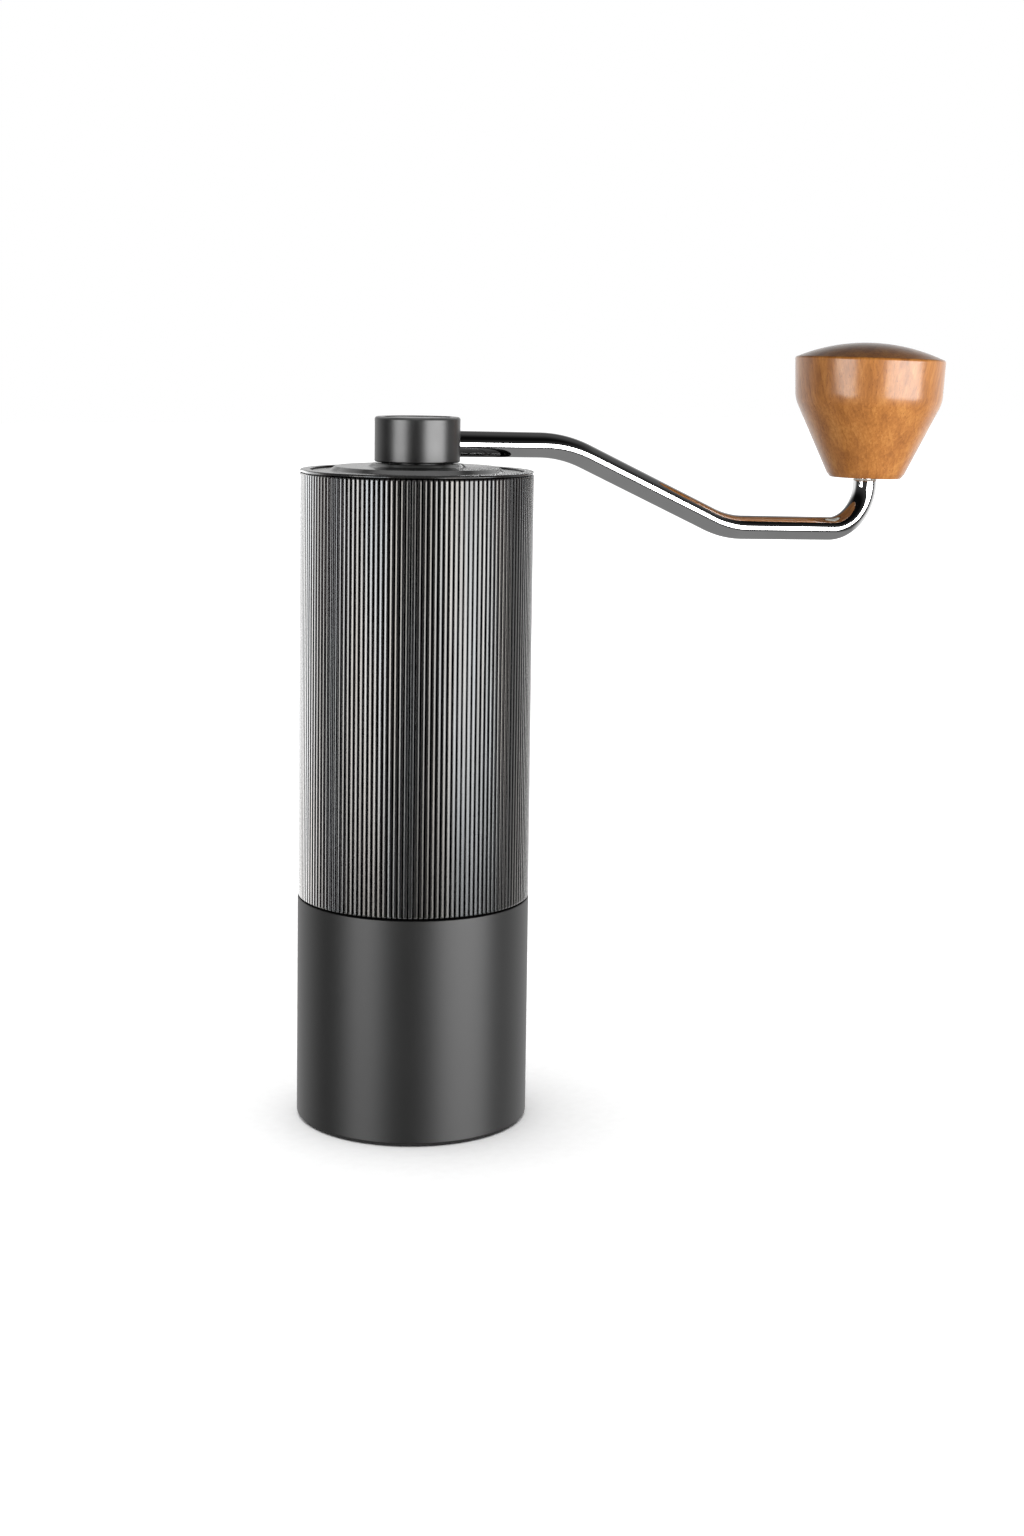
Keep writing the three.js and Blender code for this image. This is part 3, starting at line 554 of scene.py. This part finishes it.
def housing():
    low, high = span("housing_tube")
    radius, bottom, top = high.x, low.z, high.z
    bore, spigot = radius - BODY_WALL, radius - SPIGOT_STEP
    core, lip = radius - CORE_STEP, radius - RIB_DEPTH - 0.01
    throat, throat_top = spigot - SPIGOT_WALL, bottom + 10.5
    shoulder = span("grounds_cup")[1].z + 0.2
    rib_top = top - 0.7
    groove = seal_groove("cup_seal")
    groove_floor = span("cup_seal")[1].x - 1.35
    thread_zone = (bottom + 0.9, groove[0] - 0.5)

    def reeding(angle, at_radius, height):
        """Ribs with rounded crests and narrow V valleys, rounded off at both ends."""
        if at_radius < lip:
            return 0
        across = abs(2 * (angle * RIBS / TURN % 1) - 1)
        if across < CREST_SHARE + 0.01:
            drop = CREST_FALL * across ** 2
        else:
            into_valley = (across - CREST_SHARE) / (1 - CREST_SHARE)
            drop = SHOULDER_DROP + (RIB_DEPTH - SHOULDER_DROP) * into_valley
        end_round = 0.5
        end = min(height - shoulder, rib_top - height)
        if end < end_round:
            drop = max(drop, end_round - math.sqrt(max(0.0, end_round ** 2 - (end_round - end) ** 2)))
        return -drop

    rib_heights = [0, 0.04, 0.12, 0.25, 0.5]
    rib_line = [
        (radius - 1.1, shoulder),
        *[(radius, shoulder + up) for up in rib_heights],
        *[(radius, rib_top - up) for up in reversed(rib_heights)],
        (radius - 1.1, rib_top),
    ]
    rim, lip_height = radius - 0.05, rib_top + RIM_LIP
    lid_seat, lid_shelf = bore + LID_RECESS, top - LID_SHELF
    snap_floor = bore + SNAP_RING_RECESS
    snap_top, snap_bottom = (top - depth for depth in SNAP_RING_GROOVE)
    core_line = [
        *rounded((throat, bottom, 0.3), (spigot, bottom, 0.5), (spigot, bottom + 2))[:-1],
        *rows(spigot, *thread_zone, 40),
        *rounded((spigot, bottom + 2), (spigot, groove[0], 0.1), (groove_floor, groove[0], 0.1),
                 (groove_floor, groove[1], 0.1), (spigot, groove[1], 0.1), (spigot, shoulder + 0.6),
                 (core, shoulder + 0.6), (core, rib_top), (lip, rib_top), (lip, lip_height),
                 (rim, lip_height, 0.1), (rim, top, 0.38), (lid_seat, top, 0.12), (lid_seat, lid_shelf),
                 (bore, lid_shelf, 0.1), (bore, snap_top), (snap_floor, snap_top), (snap_floor, snap_bottom),
                 (bore, snap_bottom), (bore, throat_top), (throat, throat_top), (throat, bottom))[1:-1],
    ]
    fine(
        "housing_tube",
        lathe(rib_line, RIBS * RIB_COLUMNS, reeding),
        lathe(core_line, 160, thread(CUP_PITCH, -0.36, *thread_zone, spigot, reach=0.05)),
        sharp_degrees=50,
    )


housing()

# ---------------------------------------------------------------- shaft, burrs and grind setting

SHAFT_RADIUS = 4
SHAFT_ACROSS_FLATS = 6.4
SHAFT_FLATS = (41.1, 61.5)
HEX_ACROSS = 7
HEX_FROM = 132.4
HEX_CORNER = 4.04
DIAL_THREAD_RADIUS = 3.1


def clip_groove(clip, floor, outer, width=1.1):
    """The outline of the groove that a clip sits in."""
    bottom = span(clip)[0].z - 0.15
    return [(outer, bottom), (floor, bottom), (floor, bottom + width), (outer, bottom + width)]


def shaft():
    low, high = span("drive_shaft")
    flats_from, flats_to = SHAFT_FLATS
    thread_zone = (low.z + 2.4, flats_from - 0.2)
    threaded = thread(1, -0.25, *thread_zone, DIAL_THREAD_RADIUS, 0.05)

    def section(angle, radius, height):
        """Two flats in the lower part, a hexagon at the top and the dial's thread below."""
        if flats_from <= height < flats_to and radius > SHAFT_RADIUS - 0.1:
            return min(0, SHAFT_ACROSS_FLATS / 2 / max(TIP, abs(math.sin(angle))) - radius)
        if height > HEX_FROM and radius > HEX_ACROSS / 2 - 0.1:
            return HEX_ACROSS / 2 / math.cos(angle % (TURN / 6) - TURN / 12) - HEX_CORNER
        return threaded(angle, radius, height)

    outline = [
        (0, low.z), (DIAL_THREAD_RADIUS - 0.3, low.z), (DIAL_THREAD_RADIUS, low.z + 0.3),
        *clip_groove("dial_stop_clip", 2.3, DIAL_THREAD_RADIUS),
        *rows(DIAL_THREAD_RADIUS, *thread_zone, 78),
        (DIAL_THREAD_RADIUS, flats_from), (SHAFT_RADIUS, flats_from), (SHAFT_RADIUS, flats_from + 0.01),
        (SHAFT_RADIUS, flats_to - 0.01), (SHAFT_RADIUS, flats_to),
        *clip_groove("shaft_circlip_lower", 3.45, SHAFT_RADIUS),
        *clip_groove("shaft_circlip_upper", 3.45, SHAFT_RADIUS),
        (SHAFT_RADIUS, HEX_FROM), (HEX_CORNER, HEX_FROM + 0.01), (HEX_CORNER, high.z - 0.5),
        (HEX_ACROSS / 2, high.z), (0, high.z),
    ]
    fine("drive_shaft", lathe(outline, 96, section))


def toothed(teeth, depth, wind, picks):
    """A ripple of winding teeth, on the points that picks(radius, height) chooses."""
    def ripple(angle, radius, height):
        return depth * (1 - math.cos(angle * teeth + wind * height)) / 2 if picks(radius, height) else 0
    return ripple


def divided(points, steps):
    """The same line with each stretch cut into shorter ones."""
    line = [points[0]]
    for (radius, height), (next_radius, next_height) in zip(points, points[1:]):
        for k in range(1, steps + 1):
            share = k / steps
            line.append((radius + (next_radius - radius) * share, height + (next_height - height) * share))
    return line


def outer_burr():
    low, high = span("outer_burr")
    feed, grinding_radius, grinding_top = 17.0, 15.8, 46
    throat = divided([
        (feed, high.z), (feed - 0.35, high.z - 3), (feed - 0.7, high.z - 6),
        (grinding_radius, grinding_top), (grinding_radius, low.z),
    ], 6)
    shell = rounded(
        (grinding_radius, low.z), (high.x, low.z, 0.3), (high.x, high.z, 0.3), (feed, high.z),
    )[1:-1]
    teeth = toothed(10, 0.5, 0.9, lambda radius, _: radius < feed + 0.1)
    burr = fine("outer_burr", lathe([*shell, *throat], 200, teeth))
    screws = [span(f"burr_screw_{i}") for i in (1, 2, 3)]
    middles = [(screw_low + screw_high) / 2 for screw_low, screw_high in screws]
    drill(burr, [peg(1.85, low.z - 1, low.z + 2.2, middle.x, middle.y) for middle in middles])


def inner_burr():
    low, high = span("inner_burr")
    bore, spring_seat, spring_seat_height = 4.3, 6.6, 54
    cone = divided([
        (15.2, low.z), (15.2, 45), (14.1, 48.5), (12.3, 52), (10.5, 55.5), (8.9, 59), (7.8, high.z),
    ], 5)
    seat = [(spring_seat, high.z), (spring_seat, spring_seat_height), (bore, spring_seat_height)]
    teeth = toothed(8, -1, -0.35, lambda radius, height: radius > 7.9 and height > low.z + 0.1)
    fine("inner_burr", lathe([(bore, low.z), *cone, *seat], 192, teeth))


def burr_spring():
    low, high = span("burr_spring")
    room, wire = 0.55, 0.53
    spring = coil(high.x - room, wire, low.z + room, high.z - room, turns=5.5)
    fine("burr_spring", spring, stretch=(BODY_OF["inner_burr"], BODY_OF["drive_shaft"], low.z, high.z))


def dial():
    low, high = span("adjusting_dial")
    bore, grips, grip_depth, grips_from = 6.2, 20, 0.35, 12

    def scallops(angle, radius, _):
        return -grip_depth * (1 - math.cos(grips * angle)) if radius > grips_from else 0

    outline = rounded((bore, low.z, 0.3), (high.x, low.z, 0.7), (high.x, high.z, 0.5), (bore, high.z, 0.2))
    body = fine("adjusting_dial", lathe(outline, 240, scallops))
    pocket_radius, pocket_floor, ball_circle = 1.65, 35, 9.6
    drill(body, [peg(pocket_radius, pocket_floor, high.z + 1, x) for x in (ball_circle, -ball_circle)])
    low, high = span("dial_insert")
    fine("dial_insert", lathe(ring_line(3.35, high.x, low.z, high.z, 0.2), 96))


shaft()
outer_burr()
inner_burr()
burr_spring()
dial()

# ---------------------------------------------------------------- lid


def lid():
    low, high = span("lid_plate")
    flange, boss_bottom, boss_top, skirt_bottom = high.x, low.z, high.z - 0.05, low.z + 0.9
    top = span("housing_tube")[1].z - 0.4
    plateau, flange_bottom, ceiling = top + 1.1, 143.9, 143
    boss, skirt_inside, skirt, seal_floor = 9.6, 20.8, 22.85, 21.65
    groove = seal_groove("lid_seal")
    seat = span("lid_bush")[1].x + 0.1
    outline = rounded(
        (seat, boss_bottom, 0.2), (boss, boss_bottom, 0.3), (boss, ceiling, 0.6),
        (skirt_inside, ceiling, 0.6), (skirt_inside, skirt_bottom, 0.25), (skirt, skirt_bottom, 0.35),
        (skirt, groove[0], 0.1), (seal_floor, groove[0], 0.1), (seal_floor, groove[1], 0.1),
        (skirt, groove[1], 0.1), (skirt, flange_bottom), (flange, flange_bottom, 0.2), (flange, top, 0.3),
        (flange - 3.9, top, 1.6), (flange - 5.2, plateau, 0.5), (11, plateau, 1.1), (10.1, boss_top, 0.1),
        (seat, boss_top, 0.2), steps=7,
    )
    fine("lid_plate", lathe(outline, 192))
    low, high = span("lid_bush")
    fine("lid_bush", lathe(ring_line(6.25, high.x, low.z, high.z, 0.2), 96))


lid()

# ---------------------------------------------------------------- crank

KNOB_JOINT = next(joint for joint in record["behaviour"]["joints"] if joint["name"] == "knob_spin")
PIVOT = Vector(KNOB_JOINT["pos_m"]) / MM
LEAN = math.atan2(KNOB_JOINT["axis"][0], KNOB_JOINT["axis"][2])
ROD_RADIUS = 2.95
PIN_RADIUS = 2.2
ROD_START = Vector((5.2, 151.7))
ROD_SLOPES = (-1.45, -22.9, -2.46)
ROD_BENDS_AT = (39.5, 87.9)
ROD_FOOT = 128.5
BEND_RADII = (36, 30, 11.5)
CLIP_GROOVE = (16.2, 17.3)
PIN_TOP = 19.25
SCREW_HOLE_TOP = 162


def direction(heading):
    return Vector((math.cos(heading), math.sin(heading)))


def downhill(start, degrees, x):
    """The point at x on a line that leaves start at that slope."""
    return start + Vector((1, math.tan(math.radians(degrees)))) * (x - start.x)


def rod_stations():
    """The rod leaves the hub almost level, dives past the body's edge, runs out and turns up to the knob."""
    dip = downhill(ROD_START, ROD_SLOPES[0], ROD_BENDS_AT[0])
    reach = downhill(dip, ROD_SLOPES[1], ROD_BENDS_AT[1])
    corner = downhill(reach, ROD_SLOPES[2], PIVOT.x - math.tan(LEAN) * (PIVOT.z - ROD_FOOT))
    end = Vector((PIVOT.x, PIVOT.z))
    corners = [ROD_START, dip, reach, corner, end]
    headings = [math.atan2(b.y - a.y, b.x - a.x) for a, b in zip(corners, corners[1:])]

    def on(point, heading, along, radius):
        at = point + direction(heading) * along
        return at.x, at.y, heading, radius

    edge = 0.3
    stations = [on(ROD_START, headings[0], along, radius)
                for along, radius in ((0, 0), (0, ROD_RADIUS - edge), (edge, ROD_RADIUS))]
    for corner, heading, next_heading, radius in zip(corners[1:], headings, headings[1:], BEND_RADII):
        turn = next_heading - heading
        way = math.copysign(1, turn)
        first = corner - direction(heading) * radius * math.tan(abs(turn) / 2)
        centre = first + Vector((-math.sin(heading), math.cos(heading))) * radius * way
        count = max(8, round(abs(math.degrees(turn)) / 2.2))
        for k in range(count + 1):
            now = heading + turn * k / count
            at = centre + Vector((math.sin(now), -math.cos(now))) * radius * way
            stations.append((at.x, at.y, now, ROD_RADIUS))
    groove_floor = PIN_RADIUS - 0.6
    for height, radius in [
        (-0.25, ROD_RADIUS), (-0.08, ROD_RADIUS - 0.1), (0, ROD_RADIUS - edge), (0, PIN_RADIUS),
        (CLIP_GROOVE[0], PIN_RADIUS), (CLIP_GROOVE[0], groove_floor), (CLIP_GROOVE[1], groove_floor),
        (CLIP_GROOVE[1], PIN_RADIUS), (PIN_TOP - 0.35, PIN_RADIUS), (PIN_TOP, PIN_RADIUS - 0.4),
        (PIN_TOP, 0),
    ]:
        stations.append(on(end, math.pi / 2 - LEAN, height, radius))
    return stations


def arm(screw_x, screw_bottom):
    rod = fine("crank_arm", sweep(rod_stations(), 64), sharp_degrees=50)
    drill(rod, [peg(1.5, screw_bottom - 0.3, SCREW_HOLE_TOP, screw_x)], 50)


def hub(screw_x):
    low, high = span("crank_hub")
    cap_low, cap_high = span("hub_cap")
    radius, top = high.x, high.z
    foot, neck, socket_top, socket_radius = 147.75, 6, 149.9, 3.8
    ring_floor, ring_bottom, ring_top = 5.4, 135.35, 136.45
    recess, recess_floor = cap_high.x + 0.2, cap_low.z - 0.2

    def hex_socket(angle, at_radius, _):
        """The socket's round wall becomes a hexagon, as far across its flats as the wall is wide."""
        if abs(at_radius - socket_radius) > 0.01:
            return 0
        return socket_radius / math.cos((angle + TURN / 12) % (TURN / 6) - TURN / 12) - socket_radius

    outline = [
        (0, socket_top),
        (socket_radius, socket_top),
        (socket_radius, low.z),
        *rounded((socket_radius, low.z), (neck, low.z, 0.3), (neck, ring_bottom), (ring_floor, ring_bottom),
                 (ring_floor, ring_top), (neck, ring_top), (neck, foot, 0.2), (radius, foot, 0.3),
                 (radius, top, 0.6), (recess, top, 0.15), (recess, recess_floor), (0, recess_floor),
                 steps=6)[1:],
    ]
    body = fine("crank_hub", lathe(outline, 192, hex_socket))
    slope = math.radians(ROD_SLOPES[0])
    bore_radius = ROD_RADIUS + 0.12
    bore_from = Vector((4.9, 151.71))
    bore_to = bore_from + direction(slope) * 12
    bore = sweep([(bore_from.x, bore_from.y, slope, 0), (bore_from.x, bore_from.y, slope, bore_radius),
                  (bore_to.x, bore_to.y, slope, bore_radius), (bore_to.x, bore_to.y, slope, 0)], 64)
    drill(body, [bore, peg(1.5, bore_from.y, SCREW_HOLE_TOP, screw_x)])
    fine("hub_cap", lathe(disc_line(cap_low, cap_high, 0.1, 0.25), 128))


screw_low, screw_high = span("arm_lock_screw")
screw_x = (screw_low.x + screw_high.x) / 2
arm(screw_x, screw_low.z)
hub(screw_x)

# ---------------------------------------------------------------- knob

KNOB_FOOT, KNOB_WAIST, KNOB_RIM = 8.9, 18.4, 18.85
KNOB_BOTTOM, CONE_TOP, RIM_TOP = 0.3, 19.7, 30.1
DOME_FOOT, DOME_TOP = 30.5, 34.3
KNOB_BORE, KNOB_BORE_TOP = 4.9, 20.5


def dome_line(radius, foot, top, steps=14):
    """A cap of a ball, from its edge to the axis."""
    rise = top - foot
    ball = (radius ** 2 + rise ** 2) / (2 * rise)
    radii = [radius * (1 - k / steps) for k in range(steps + 1)]
    return [(out, top - ball + math.sqrt(ball ** 2 - out ** 2)) for out in radii]


def knob():
    upright = Matrix.Translation(PIVOT * MM) @ Matrix.Rotation(LEAN, 4, "Y")
    dome = dome_line(KNOB_RIM - 0.7, DOME_FOOT, DOME_TOP)
    side = rounded(
        (0, KNOB_BORE_TOP), (KNOB_BORE, KNOB_BORE_TOP), (KNOB_BORE, KNOB_BOTTOM, 0.25),
        (KNOB_FOOT, KNOB_BOTTOM, 0.5), (KNOB_FOOT + 0.9, KNOB_BOTTOM + 1.2, 0.6), (KNOB_WAIST, CONE_TOP, 9),
        (KNOB_RIM, RIM_TOP, 0.7), (KNOB_RIM - 0.45, RIM_TOP + 0.35), dome[0], steps=9,
    )[1:-1]
    fine("wood_knob", lathe([(0, KNOB_BORE_TOP), *side, *dome], 160), matrix=upright)
    fine("knob_bush", lathe(ring_line(2.5, 4.6, 1.05, 16, 0.2), 64), matrix=upright)
    fine("knob_washer", lathe(ring_line(2.45, 4.4, 0.2, 0.75, 0.1), 64), matrix=upright)


knob()

# ---------------------------------------------------------------- camera

# The camera stands in front and to the left, a little above the lid, and is rolled slightly.
CAMERA_AT = Vector((-0.2748, -0.4457, 0.1742))
AHEAD = Vector((0.5561, 0.8245, -0.1046)).normalized()
ROLL = math.radians(0.786)
UP = Vector((0, 0, 1))
side = AHEAD.cross(UP).normalized()
above = side.cross(AHEAD)
camera_right = side * math.cos(ROLL) + above * math.sin(ROLL)
camera_up = above * math.cos(ROLL) - side * math.sin(ROLL)
lens = bpy.data.cameras.new("camera")
lens.sensor_width = 36
lens.lens = 55.29
lens.shift_y = -0.1152
lens.clip_start = 0.01
camera = bpy.data.objects.new("camera", lens)
turned = Matrix((camera_right, camera_up, -AHEAD)).transposed()
camera.matrix_world = Matrix.Translation(CAMERA_AT) @ turned.to_4x4()
scene = bpy.context.scene
scene.collection.objects.link(camera)
scene.camera = camera
scene.view_settings.view_transform = "Standard"

# ---------------------------------------------------------------- floor, lights and room

towards = Vector((-AHEAD.x, -AHEAD.y, 0)).normalized()
MIDDLE = Vector((0.02, 0.0, 0.09))


def panel(name, at, faces_from, width, height, radiance, lights):
    """A light panel that shines along -faces_from on the collection that lights names."""
    light = bpy.data.lights.new(name, "AREA")
    light.shape, light.size, light.size_y = "RECTANGLE", width, height
    light.energy = radiance * math.pi * width * height
    obj = bpy.data.objects.new(name, light)
    obj.location = at
    obj.rotation_euler = faces_from.to_track_quat("Z", "Y").to_euler()
    obj.visible_camera = False
    obj.light_linking.receiver_collection = lights
    scene.collection.objects.link(obj)


def softbox(name, azimuth, width, low, high, radiance, lights, distance=1.2):
    """An upright panel. azimuth is from the side of the object that faces the camera, positive to the right.
    width, low and high are angles as the object sees them, in degrees."""
    angle = math.radians(azimuth)
    way = towards * math.cos(angle) + side * math.sin(angle)
    bottom, top = (distance * math.tan(math.radians(edge)) for edge in (low, high))
    across = 2 * distance * math.tan(math.radians(width / 2))
    at = MIDDLE + way * distance + Vector((0, 0, (bottom + top) / 2))
    panel(name, at, way, across, top - bottom, radiance, lights)


def group(name, objects, leave_out=False):
    """Objects that a light is for or, with leave_out, that it isn't for."""
    collection = bpy.data.collections.new(name)
    for obj in objects:
        collection.objects.link(obj)
    if leave_out:
        for item in collection.collection_objects:
            item.light_linking.link_state = "EXCLUDE"
    return collection


def paper_floor():
    """Pale paper. It reflects little back, and glows far off so that it meets the room without a line."""
    material, tree, shader = new_material("paper_floor")
    fibres = noise(tree, (400, 400, 400), detail=4)
    seen = add(tree, "LightPath").outputs["Is Camera Ray"]
    pale = ramp(tree, fibres, [(0.3, grey(0.93)), (0.7, grey(0.96))])
    dim = ramp(tree, fibres, [(0.3, grey(0.14)), (0.7, grey(0.15))])
    mixed = add(tree, "Mix", {0: seen, 6: dim, 7: pale}, data_type="RGBA")
    tree.links.new(mixed.outputs[2], shader.inputs["Base Color"])
    tree.links.new(between(tree, fibres, 0.85, 0.95), shader.inputs["Roughness"])
    shader.inputs["Specular IOR Level"].default_value = 0.1
    position = add(tree, "TexCoord").outputs["Object"]
    distance = add(tree, "VectorMath", {0: position}, operation="LENGTH").outputs["Value"]
    glow = maths(tree, "MULTIPLY", eased(tree, distance, 0.3, 0.9), seen)
    tree.links.new(glow, shader.inputs["Emission Strength"])
    shader.inputs["Emission Color"].default_value = (1, 1, 1, 1)
    return material


floor_mesh = bpy.data.meshes.new("floor")
floor_mesh.from_pydata([(-4, -4, 0), (4, -4, 0), (4, 4, 0), (-4, 4, 0)], [], [(0, 1, 2, 3)])
floor_mesh.materials.append(paper_floor())
floor = bpy.data.objects.new("floor", floor_mesh)
floor.visible_glossy = False
floor.visible_shadow = False
floors = group("floor only", [floor])
scene.collection.children.link(floors)
ribs, cup_shell, rod, wood_piece = (
    bpy.data.objects[f"{node}_fine"] for node in ("housing_tube", "grounds_cup", "crank_arm", "wood_knob")
)
all_but_floor = group("all but the floor", [floor], leave_out=True)
dark_pieces = group("dark pieces", [floor, rod, wood_piece, cup_shell], leave_out=True)
all_but_ribs = group("all but the ribs", [floor, ribs], leave_out=True)
ribs_only = group("ribs only", [ribs])
cup_only = group("cup only", [cup_shell])

# The left and right softboxes make the highlights. The low ones carry them down the cup, and the edge lights
# pick out the ribs at the sides. The rings and the top panel light the black parts in views from elsewhere.
softbox("left_softbox", -45, 35, -14, 12, 7.5, all_but_floor)
softbox("right_softbox", 51, 58, -14, 12, 9.0, all_but_ribs)
softbox("right_rib_softbox", 51, 58, -14, 12, 6.6, ribs_only)
softbox("left_low_softbox", -45, 35, -27, -14, 3.2, cup_only)
softbox("right_low_softbox", 53, 50, -27, -14, 4.6, cup_only)
softbox("left_edge_light", -130, 50, -24, 20, 4.2, ribs_only)
softbox("right_edge_light", 160, 24, -24, 20, 1.5, ribs_only)
for k in range(5):
    softbox(f"low_ring_{k + 1}", 72 * k, 70, -52, -25, 1.6, dark_pieces)
    softbox(f"high_ring_{k + 1}", 72 * k, 70, 25, 50, 1.2, dark_pieces)
panel("top_panel", UP * 1.3, UP, 1.4, 1.4, 1.6, dark_pieces)
panel("floor_panel", UP * 1.6 - side * 0.3, UP, 3.4, 3.4, 2.2, floors)


def light_room():
    """White to the eye. In reflections it is bright only behind the object near the horizon, dim below."""
    world = bpy.data.worlds.new("room")
    scene.world = world
    world.use_nodes = True
    tree = world.node_tree
    background = tree.nodes["Background"]
    way = add(tree, "TexCoord").outputs["Generated"]
    facing = add(tree, "VectorMath", {0: way, 1: tuple(-towards)}, operation="DOT_PRODUCT").outputs["Value"]
    height = add(tree, "SeparateXYZ", {0: way}).outputs[2]
    behind = eased(tree, facing, -0.05, 0.55, 0.05, 1.0)
    low_down = eased(tree, height, 0.08, 0.6, 1.0, 0.08)
    above_floor = eased(tree, height, -0.6, -0.3, 0.1, 1.0)
    below = eased(tree, height, -0.3, -0.5, 0.0, 0.25)
    glow = maths(tree, "MULTIPLY", behind, maths(tree, "MULTIPLY", low_down, above_floor))
    room = maths(tree, "MAXIMUM", glow, below)
    seen = add(tree, "LightPath").outputs["Is Camera Ray"]
    level = add(tree, "Mix", {0: seen, 2: room, 3: 1.0}, data_type="FLOAT").outputs[0]
    tree.links.new(level, background.inputs["Strength"])
    background.inputs["Color"].default_value = (1, 1, 1, 1)


light_room()
